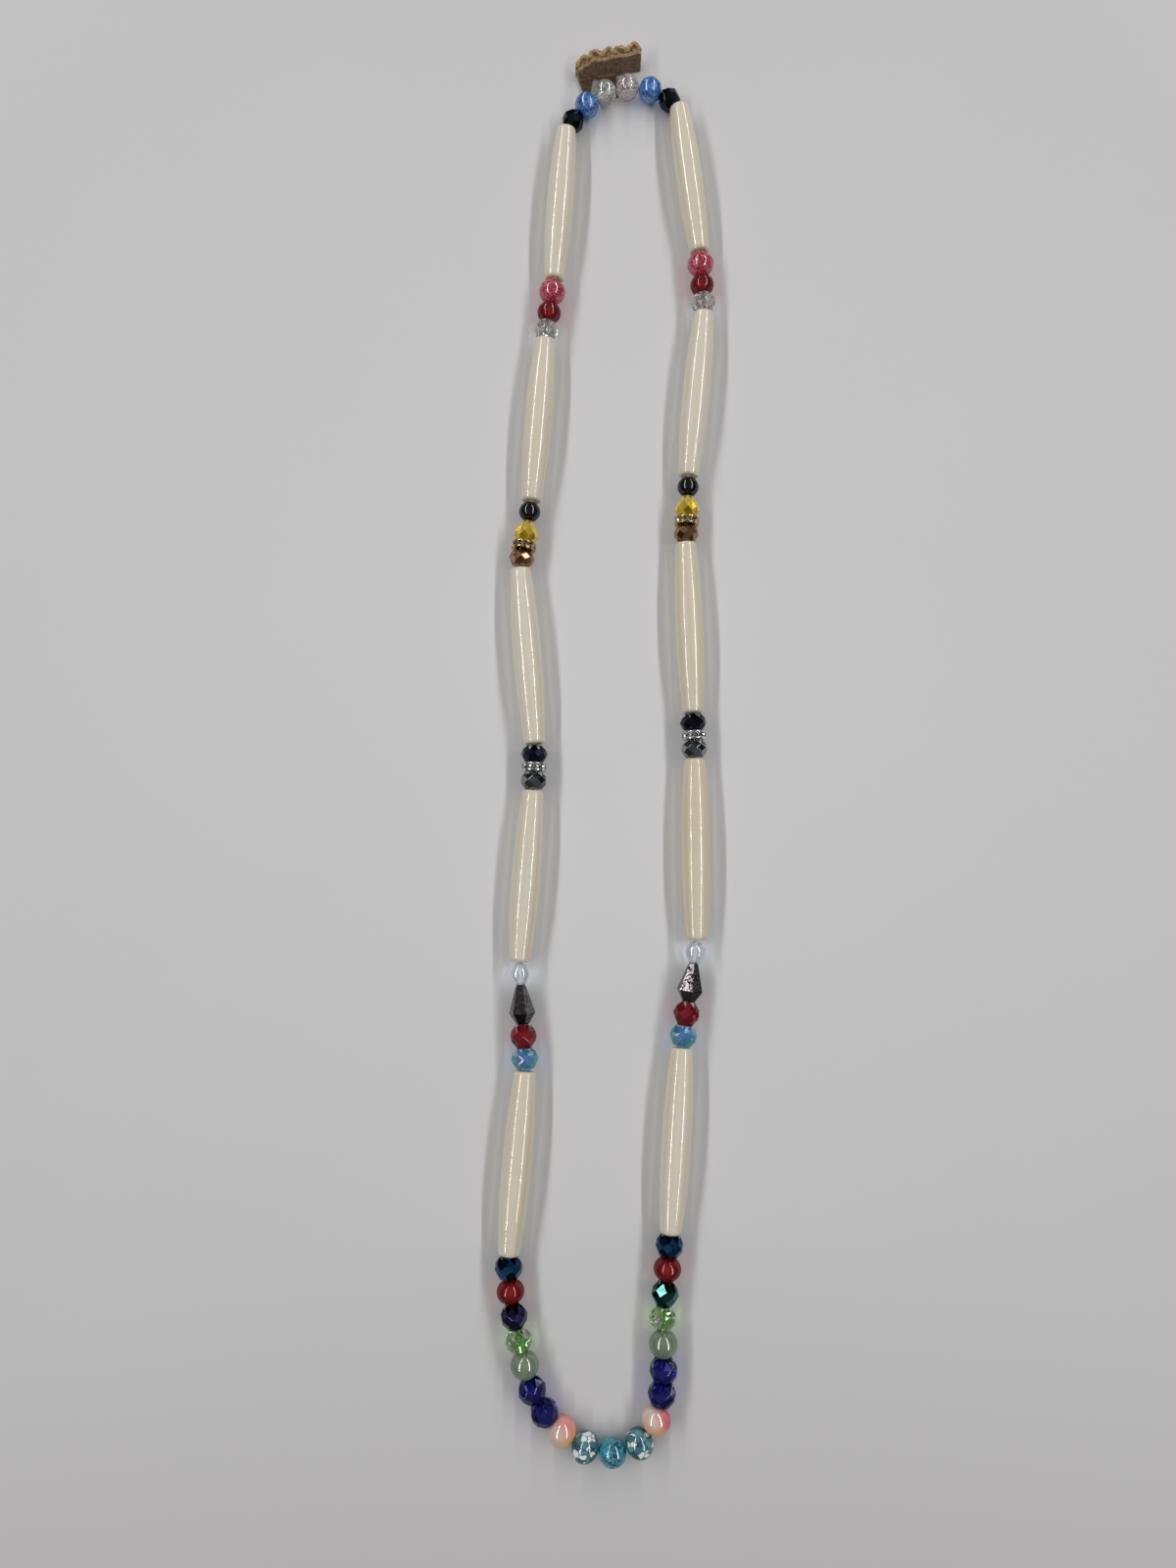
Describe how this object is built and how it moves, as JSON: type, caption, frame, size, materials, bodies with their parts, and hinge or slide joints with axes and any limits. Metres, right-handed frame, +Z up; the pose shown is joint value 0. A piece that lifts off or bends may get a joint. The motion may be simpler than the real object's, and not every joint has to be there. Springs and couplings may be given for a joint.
{
  "type": "beaded necklace",
  "caption": "Closed string necklace of long bone hairpipes with glass, metal and stone beads between them, with a suede tab at the back, lying flat as a narrow loop.",
  "frame": {"origin": "bottom centre of the box round the lying necklace", "axes": "+Z up from the surface that it lies on, +Y from the front of the string to the back, +X to the right seen from above"},
  "size_m": [0.0642, 0.4174, 0.0083],
  "materials": {
    "bone": "polished bone, ivory white with faint cream streaks",
    "clear_glass": "clear glass, crackled inside",
    "blue_glass": "blue glass, crackled inside",
    "dark_glass": "near black faceted glass with a green and violet lustre",
    "pink_glass": "pink glass, crackled inside",
    "red_glass": "deep red glass, polished",
    "black_glass": "black glass, polished",
    "yellow_glass": "opaque yellow faceted glass with a pearl lustre",
    "gold": "plated rims, antique gold",
    "bronze": "metallic bronze coating on faceted glass",
    "silver": "plated rims, bright",
    "rhinestone": "clear cut stones",
    "gunmetal": "gunmetal coating on faceted glass",
    "opal_glass": "milky opal glass",
    "hematite": "polished hematite with pits",
    "sky_glass": "sky blue faceted glass",
    "blue_iris": "blue metallic coating on faceted glass",
    "dark_iris": "violet and green metallic coating on faceted glass",
    "green_glass": "light green faceted glass with a rainbow coating",
    "aventurine": "polished green stone",
    "cobalt_glass": "cobalt blue faceted glass",
    "pink_stone": "polished pink and yellow stone",
    "mosaic_stone": "polished stone with white and dark patches",
    "aqua_glass": "aqua glass, crackled inside",
    "thread": "off-white twisted thread",
    "suede": "brown suede with paler cut edges"
  },
  "bodies": {
    "root": {"mosaic_stone_left": "mosaic_stone", "pink_stone_left": "pink_stone", "cobalt_front_left": "cobalt_glass", "cobalt_back_left": "cobalt_glass", "aventurine_left": "aventurine", "light_green_left": "green_glass", "dark_iris_left": "dark_iris", "red_oval_left": "red_glass", "blue_iris_left": "blue_iris", "hairpipe_1_left": "bone", "spacer_hematite_left": "hematite", "hairpipe_2_left": "bone", "spacer_silver_left": "gunmetal", "hairpipe_3_left": "bone", "spacer_gold_left": "bronze", "hairpipe_4_left": "bone", "spacer_rose_left": "pink_glass", "hairpipe_5_left": "bone", "dark_luster_left": "dark_glass", "blue_crackle_left": "blue_glass", "clear_crackle_left": "clear_glass", "clear_crackle_right": "clear_glass", "blue_crackle_right": "blue_glass", "dark_luster_right": "dark_glass", "hairpipe_5_right": "bone", "spacer_rose_right": "pink_glass", "hairpipe_4_right": "bone", "spacer_gold_right": "bronze", "hairpipe_3_right": "bone", "spacer_silver_right": "gunmetal", "hairpipe_2_right": "bone", "spacer_hematite_right": "hematite", "hairpipe_1_right": "bone", "blue_iris_right": "blue_iris", "red_oval_right": "red_glass", "dark_iris_right": "dark_iris", "light_green_right": "green_glass", "aventurine_right": "aventurine", "cobalt_back_right": "cobalt_glass", "cobalt_front_right": "cobalt_glass", "pink_stone_right": "pink_stone", "mosaic_stone_right": "mosaic_stone", "aqua_centre": "aqua_glass", "thread": "thread", "suede_tab": "suede"}
  },
  "joints": []
}
